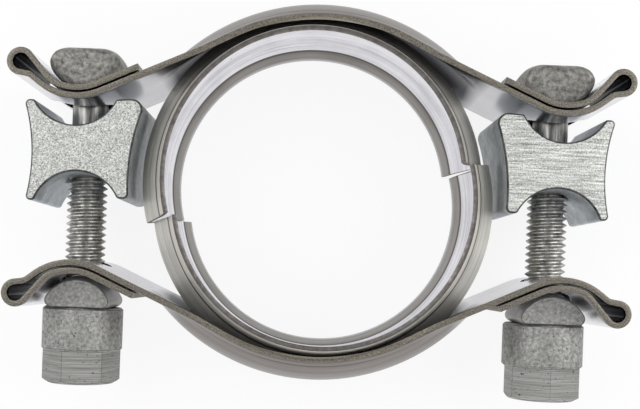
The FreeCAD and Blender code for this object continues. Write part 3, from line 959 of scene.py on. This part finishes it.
def pit_effect():
    """Small pits: a mask that is 1 in the pits."""
    tree, source, sink = effect("Pits", [("Vector", "NodeSocketVector"), ("Scale", "NodeSocketFloat"),
                                         ("Share", "NodeSocketFloat")], "Mask")
    if source:
        cells = add(tree, "ShaderNodeTexNoise", {"Detail": 3.0, "Roughness": 0.55})
        for label in ("Vector", "Scale"):
            tree.links.new(source.outputs[label], cells.inputs[label])
        over = worked(tree, "SUBTRACT", cells.outputs["Fac"],
                      worked(tree, "SUBTRACT", 1.0, source.outputs["Share"]))
        tree.links.new(ranged(tree, over, 0.0, 0.06), sink.inputs["Mask"])
    return tree


def corner_highlight_effect():
    """Painted highlight on the rounded corners of a cut edge: 1 where it turns over into the sheet's faces.
    """
    tree, source, sink = effect("Corner highlight", [("Normal", "NodeSocketVector")], "Mask")
    if source:
        facing = axis_size(tree, source.outputs["Normal"], "Z")
        corner_highlight = times(tree, ranged(tree, facing, 0.1, 0.3), ranged(tree, facing, 0.8, 0.6))
        tree.links.new(corner_highlight, sink.inputs["Mask"])
    return tree


def end_face_effect():
    """1 on faces that look along the bore, 0 on the sides."""
    tree, source, sink = effect("End faces", [("Normal", "NodeSocketVector")], "Mask")
    if source:
        facing = axis_size(tree, source.outputs["Normal"], "Z")
        tree.links.new(ranged(tree, facing, 0.9, 0.97), sink.inputs["Mask"])
    return tree


def place_effect(tree, group, vector, **values):
    """One use of an effect in a material, with its own values; its first input is a coordinate or normal."""
    node = tree.nodes.new("ShaderNodeGroup")
    node.node_tree = group
    for label, value in values.items():
        node.inputs[label].default_value = value
    tree.links.new(vector, node.inputs[0])
    return node.outputs[0]


def mottles(tree, vector, scale=1.0):
    return place_effect(tree, mottle_effect(), vector, Scale=scale)


def pits(tree, vector, scale, share):
    return place_effect(tree, pit_effect(), vector, Scale=scale, Share=share)


def outside_mask(tree, place):
    """1 on faces turned away from the bore and 0 on faces turned to it."""
    flat = add(tree, "ShaderNodeVectorMath", operation="MULTIPLY")
    flat.inputs[1].default_value = (1.0, 1.0, 0.0)
    tree.links.new(place.outputs["Object"], flat.inputs[0])
    spoke = add(tree, "ShaderNodeVectorMath", operation="NORMALIZE")
    tree.links.new(flat.outputs[0], spoke.inputs[0])
    along = add(tree, "ShaderNodeVectorMath", operation="DOT_PRODUCT")
    tree.links.new(spoke.outputs[0], along.inputs[0])
    tree.links.new(place.outputs["Normal"], along.inputs[1])
    return ranged(tree, along.outputs["Value"], -0.1, 0.1)


def new_metal(name):
    """Material with a metallic shader, or the one already made and no tree."""
    if name in bpy.data.materials:
        return bpy.data.materials[name], None, None, None
    material = bpy.data.materials.new(name)
    material.use_nodes = True
    tree = material.node_tree
    shader = tree.nodes["Principled BSDF"]
    shader.inputs["Metallic"].default_value = 1.0
    return material, tree, shader, tree.nodes.new("ShaderNodeTexCoord")


def finish_metal(tree, shader, base, rough, height, depth):
    """Feeds a metal's colour, roughness and fine relief."""
    tree.links.new(base, shader.inputs["Base Color"])
    tree.links.new(rough, shader.inputs["Roughness"])
    bump = add(tree, "ShaderNodeBump", {"Distance": depth})
    tree.links.new(height, bump.inputs["Height"])
    tree.links.new(bump.outputs["Normal"], shader.inputs["Normal"])


def leg_pattern(tree, place):
    """Rolled sheet of a strap: its colour, its fine lines and its dark specks."""
    p = bpy.context.scene.clamp_pattern
    clouds = mottles(tree, place.outputs["Object"], p.strap_clouds)
    lines = mottles(tree, stretched(tree, place.outputs["UV"], *p.strap_lines, 1.0))
    specks = pits(tree, place.outputs["Object"], p.strap_specks, share=0.29)
    return blend(tree, *shades("leg"), weighted(tree, (clouds, 0.6), (lines, 0.4))), lines, specks


def strap_metal():
    """Inner side of a strap's sheet, which turns outwards on the loops and leaves: bright rolled steel, with
    painted shade under the dome.
    """
    f = bpy.context.scene.clamp_finish
    s = bpy.context.scene.clamp_strap
    material, tree, shader, place = new_metal("strap_stainless")
    if tree:
        leg, lines, specks = leg_pattern(tree, place)
        across = axis_size(tree, place.outputs["Object"], "X")
        under_dome_shade = faded(tree, across, s.bolt_x - s.leaf_reach, UNDER_DOME_SHADE_FADE)
        # Painted shade: the pocket colour darkens the sheet under the dome.
        base = blend(tree, blend(tree, leg, f.pocket_shade, under_dome_shade), f.crease, specks)
        finish_metal(tree, shader, base, ranged(tree, lines, 0.0, 1.0, *LEG_SHEEN), lines, STRAP_RELIEF)
    return material


def strap_back():
    """Outer side of a strap's sheet: bright on the legs, dull and dark on the drawn dome (partly its finish,
    partly a painted dark reflection), and painted shade in the pockets.
    """
    f = bpy.context.scene.clamp_finish
    s = bpy.context.scene.clamp_strap
    p = bpy.context.scene.clamp_pattern
    material, tree, shader, place = new_metal("strap_drawn")
    if tree:
        leg, lines, specks = leg_pattern(tree, place)
        bands = mottles(tree, stretched(tree, place.outputs["UV"], *p.strap_bands, 1.0))
        # Dome colour: drawn finish with a painted dark reflection.
        drawn = blend(tree, *shades("dome"), weighted(tree, (bands, 0.6), (lines, 0.4)))
        across = axis_size(tree, place.outputs["Object"], "X")
        leaf_end = s.bolt_x - s.leaf_reach
        dome = faded(tree, across, leaf_end, DOME_FADE)
        base = blend(tree, blend(tree, leg, drawn, dome), f.crease, specks)
        deep = axis_size(tree, place.outputs["Object"], "Z")
        line = line_at(tree, deep, s.width / 2.0 - s.draw_line, s.draw_width)
        base = blend(tree, base, f.crease, times(tree, line, dome))
        # Painted shade: the pocket colour darkens the sheet inside the loops and under the leaves.
        base = blend(tree, base, f.pocket_shade, faded(tree, across, leaf_end, POCKET_SHADE_FADE))
        rough = mixed(tree, ranged(tree, lines, 0.0, 1.0, *LEG_SHEEN),
                      ranged(tree, lines, 0.0, 1.0, *DOME_SHEEN), dome)
        finish_metal(tree, shader, base, rough, lines, STRAP_RELIEF)
    return material


def ring_metal():
    """Ring sheet: bright flanks inside, lips painted grey as shade beyond a painted dark line in the crease,
    dull outside.
    """
    f = bpy.context.scene.clamp_finish
    r = bpy.context.scene.clamp_ring
    p = bpy.context.scene.clamp_pattern
    rim = node_span("upper_v_insert", 2)[1]
    knee = rim - r.lip
    material, tree, shader, place = new_metal("ring_stainless")
    if tree:
        where = place.outputs["Object"]
        clouds = mottles(tree, where, p.ring_clouds)
        lines = mottles(tree, stretched(tree, where, p.ring_lines[0], *p.ring_lines))
        bands = mottles(tree, stretched(tree, where, p.ring_bands[0], *p.ring_bands))
        shine = ranged(tree, weighted(tree, (clouds, 0.25), (lines, 0.3375), (bands, 0.4125)),
                       0.25, 0.65)
        deep = axis_size(tree, where, "Z")
        lip = faded(tree, deep, knee, LIP_FADE)
        # Towards the rim the lips take the flanks' light colour.
        rubbed = faded(tree, deep, rim, TOWARDS_RIM_FADE)
        # The lips' grey is painted shade.
        lips = blend(tree, blend(tree, *shades("lip"), shine), f.flank_light, rubbed)
        inner = blend(tree, blend(tree, *shades("flank"), shine), lips, lip)
        back = blend(tree, blend(tree, *shades("back"), shine), f.wear_and_highlight, lip)
        outside = outside_mask(tree, place)
        # The line at the knee is painted shade in the bend; the specks are real.
        dark = worked(tree, "MAXIMUM", line_at(tree, deep, knee, r.fold),
                      pits(tree, where, p.ring_specks, share=0.27))
        base = blend(tree, blend(tree, inner, back, outside), f.crease, dark)
        rough = mixed(tree, ranged(tree, lines, 0.0, 1.0, *RING_SHEEN), 0.42, outside)
        finish_metal(tree, shader, base, rough, lines, RING_RELIEF)
        tree.links.new(mixed(tree, 1.0, 0.4, outside), shader.inputs["Metallic"])
    return material


def cut_metal(name):
    """Cut edge of a sheet: rough and granular, with a painted highlight where the corner turns over."""
    surface, scale, depth = CUT[name]
    material, tree, shader, place = new_metal(name)
    if tree:
        grain = mottles(tree, place.outputs["Object"], scale)
        # Painted highlight on the rounded corners of the cut edge.
        corner_highlight = place_effect(tree, corner_highlight_effect(), place.outputs["Normal"])
        base = blend(tree, blend(tree, *shades(surface), grain), bpy.context.scene.clamp_finish.wear_and_highlight,
                     times(tree, corner_highlight, 0.85))
        finish_metal(tree, shader, base, ranged(tree, grain, 0.0, 1.0, 0.55, 0.38), grain, depth)
    return material


def blotched_metal(name):
    """Plated or forged metal with blotches and small pits."""
    surface, scale, rough, share, depth, along = BLOTCHED[name]
    material, tree, shader, place = new_metal(name)
    if tree:
        where = stretched(tree, place.outputs["Object"], 1.0, along, 1.0)
        clouds = mottles(tree, where, scale)
        holes = pits(tree, where, scale * 3.0, share)
        dark, light = shades(surface)
        base = blend(tree, blend(tree, dark, light, clouds), dark, holes)
        height = worked(tree, "SUBTRACT", times(tree, clouds, 0.5), holes)
        finish_metal(tree, shader, base, ranged(tree, clouds, 0.0, 1.0, *rough), height, depth)
    return material


def nut_metal():
    """Zinc on the nut: blotched collar, turned lines round the hexagon."""
    f = bpy.context.scene.clamp_finish
    p = bpy.context.scene.clamp_pattern
    material, tree, shader, place = new_metal("nut_zinc")
    if tree:
        where = place.outputs["Object"]
        collar = node_span("left_collar_nut", 1)[0] + bpy.context.scene.clamp_edge.hexagon
        hexagon = faded(tree, axis_value(tree, where, "Y"), collar, HEXAGON_FADE)
        round_bolt, along = p.nut_lines
        lines = mottles(tree, stretched(tree, where, round_bolt, along, round_bolt))
        pattern = mixed(tree, mottles(tree, where, p.nut_clouds), lines, hexagon)
        holes = pits(tree, where, p.nut_pits, share=0.36)
        base = blend(tree, blend(tree, *shades("nut"), pattern), f.edge_dark, holes)
        finish_metal(tree, shader, base, ranged(tree, pattern, 0.0, 1.0, 0.6, 0.48),
                     worked(tree, "SUBTRACT", pattern, holes), 0.00005)
    return material


def faced_metal(name):
    """Metal whose end faces along the bore differ from its sides."""
    faces, sides, scale, depth, along = FACED[name]
    p = bpy.context.scene.clamp_pattern
    material, tree, shader, place = new_metal(name)
    if tree:
        where = place.outputs["Object"]
        front = place_effect(tree, end_face_effect(), place.outputs["Normal"])
        marks = mottles(tree, stretched(tree, where, along, 1.0, 1.0), scale)
        grains = mottles(tree, where, scale * 1.2)
        grain = ranged(tree, worked(tree, "ADD", marks, grains), 0.45, 1.55)
        zinc = weighted(tree, (mottles(tree, where, p.zinc_clouds), 0.6),
                        (mottles(tree, where, p.zinc_dust), 0.4))
        base = blend(tree, blend(tree, *shades(sides), zinc), blend(tree, *shades(faces), grain), front)
        finish_metal(tree, shader, base, ranged(tree, front, 0.0, 1.0, 0.42, 0.55),
                     mixed(tree, times(tree, zinc, 0.3), grain, front), depth)
        tree.links.new(ranged(tree, front, 0.0, 1.0, 0.7, 1.0), shader.inputs["Metallic"])
    return material


def lamp(name, place, size, power):
    """Soft square lamp that looks at the clamp."""
    bpy.ops.object.select_all(action="DESELECT")
    bpy.ops.object.light_add(type="AREA", location=place)
    light = named(name)
    light.data.energy = power
    light.data.shape = "SQUARE"
    light.data.size = size
    light.rotation_euler = (-Vector(place)).to_track_quat("-Z", "Y").to_euler()


class CLAMP_OT_stage(bpy.types.Operator):
    """Sets the floor, the soft light and the camera"""
    bl_idname = "clamp.stage"
    bl_label = "Stage"

    def execute(self, context):
        g = context.scene.clamp_stage
        bpy.ops.object.select_all(action="DESELECT")
        bpy.ops.mesh.primitive_plane_add(size=g.floor, location=(0.0, 0.0, cad_low.z - g.gap))
        floor = named("floor")
        settle(floor)
        floor.data.materials.append(floor_paint(g))
        for settings in LAMPS:
            lamp(*settings)
        self.set_world(context)
        bpy.ops.object.camera_add(location=g.eye, rotation=(0.0, 0.0, g.roll))
        camera = context.active_object
        camera.name = "camera"
        camera.data.sensor_width = 36.0
        camera.data.lens = g.focal_px * camera.data.sensor_width / g.wide
        camera.data.shift_x = (g.wide / 2.0 - g.sight_x) / g.wide
        camera.data.shift_y = (g.sight_y - g.high / 2.0) / g.wide
        camera.data.clip_start = 0.01
        camera.data.clip_end = 20.0
        context.scene.camera = camera
        context.scene.view_settings.view_transform = "Standard"
        return {"FINISHED"}

    def set_world(self, context):
        """Grey surroundings, darker overhead, that camera rays see as white."""
        world = bpy.data.worlds.new("surroundings")
        context.scene.world = world
        world.use_nodes = True
        tree = world.node_tree
        tree.nodes.clear()
        place = tree.nodes.new("ShaderNodeTexCoord")
        sky = add(tree, "ShaderNodeValToRGB")
        while len(sky.color_ramp.elements) < len(SKY):
            sky.color_ramp.elements.new(0.5)
        for element, (position, tint) in zip(sky.color_ramp.elements, SKY):
            element.position = position
            element.color = (*tint, 1.0)
        tree.links.new(axis_value(tree, place.outputs["Generated"], "Z"), sky.inputs[0])
        grey = tree.nodes.new("ShaderNodeBackground")
        tree.links.new(sky.outputs[0], grey.inputs["Color"])
        white = add(tree, "ShaderNodeBackground", {"Color": (1.0, 1.0, 1.0, 1.0), "Strength": 1.0})
        path = tree.nodes.new("ShaderNodeLightPath")
        finish_tree(tree, grey, white, path.outputs["Is Camera Ray"], "ShaderNodeOutputWorld")


def finish_tree(tree, first, second, share, output):
    """Ends a tree with two shaders mixed by a mask."""
    mix = tree.nodes.new("ShaderNodeMixShader")
    for socket, value in zip(mix.inputs, (share, first.outputs[0], second.outputs[0])):
        tree.links.new(value, socket)
    out = tree.nodes.new(output)
    tree.links.new(mix.outputs[0], out.inputs["Surface"])


def floor_paint(g):
    """Pale floor: camera, mirror and glass rays see it mostly as plain white."""
    material = bpy.data.materials.new("floor_white")
    material.use_nodes = True
    tree = material.node_tree
    tree.nodes.clear()
    pale = add(tree, "ShaderNodeBsdfDiffuse", {"Color": (0.9, 0.9, 0.9, 1.0)})
    white = add(tree, "ShaderNodeEmission", {"Color": (1.0, 1.0, 1.0, 1.0), "Strength": 1.0})
    path = tree.nodes.new("ShaderNodeLightPath")
    mirrored = worked(tree, "MAXIMUM", path.outputs["Is Glossy Ray"], path.outputs["Is Transmission Ray"])
    seen = worked(tree, "MAXIMUM", times(tree, path.outputs["Is Camera Ray"], g.white),
                  times(tree, mirrored, g.mirror_white))
    finish_tree(tree, pale, white, seen, "ShaderNodeOutputMaterial")
    return material


OPERATORS = (CLAMP_OT_stage, CLAMP_OT_straps, CLAMP_OT_rings, CLAMP_OT_bolts, CLAMP_OT_blocks,
             CLAMP_OT_washers, CLAMP_OT_nuts)
SETTINGS = {"clamp_strap": StrapSizes, "clamp_ring": RingSizes, "clamp_bolt": BoltSizes,
            "clamp_edge": EdgeSizes, "clamp_pattern": PatternSizes, "clamp_finish": Finishes,
            "clamp_stage": StageSizes}


class CLAMP_PT_panel(bpy.types.Panel):
    """Lists the clamp's pieces"""
    bl_idname = "CLAMP_PT_panel"
    bl_label = "Exhaust clamp"
    bl_space_type = "VIEW_3D"
    bl_region_type = "UI"
    bl_category = "Clamp"

    def draw(self, context):
        for operator in OPERATORS:
            self.layout.operator(operator.bl_idname)


def register():
    for group in SETTINGS.values():
        bpy.utils.register_class(group)
    for name, group in SETTINGS.items():
        setattr(bpy.types.Scene, name, PointerProperty(type=group))
    for operator in OPERATORS:
        bpy.utils.register_class(operator)
    bpy.utils.register_class(CLAMP_PT_panel)


def unregister():
    bpy.utils.unregister_class(CLAMP_PT_panel)
    for operator in reversed(OPERATORS):
        bpy.utils.unregister_class(operator)
    for name in SETTINGS:
        delattr(bpy.types.Scene, name)
    for group in reversed(list(SETTINGS.values())):
        bpy.utils.unregister_class(group)


def main():
    register()
    bpy.ops.clamp.stage()
    bpy.ops.clamp.straps()
    bpy.ops.clamp.rings()
    bpy.ops.clamp.bolts()
    bpy.ops.clamp.blocks()
    bpy.ops.clamp.washers()
    bpy.ops.clamp.nuts()
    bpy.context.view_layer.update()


if __name__ == "__main__":
    main()
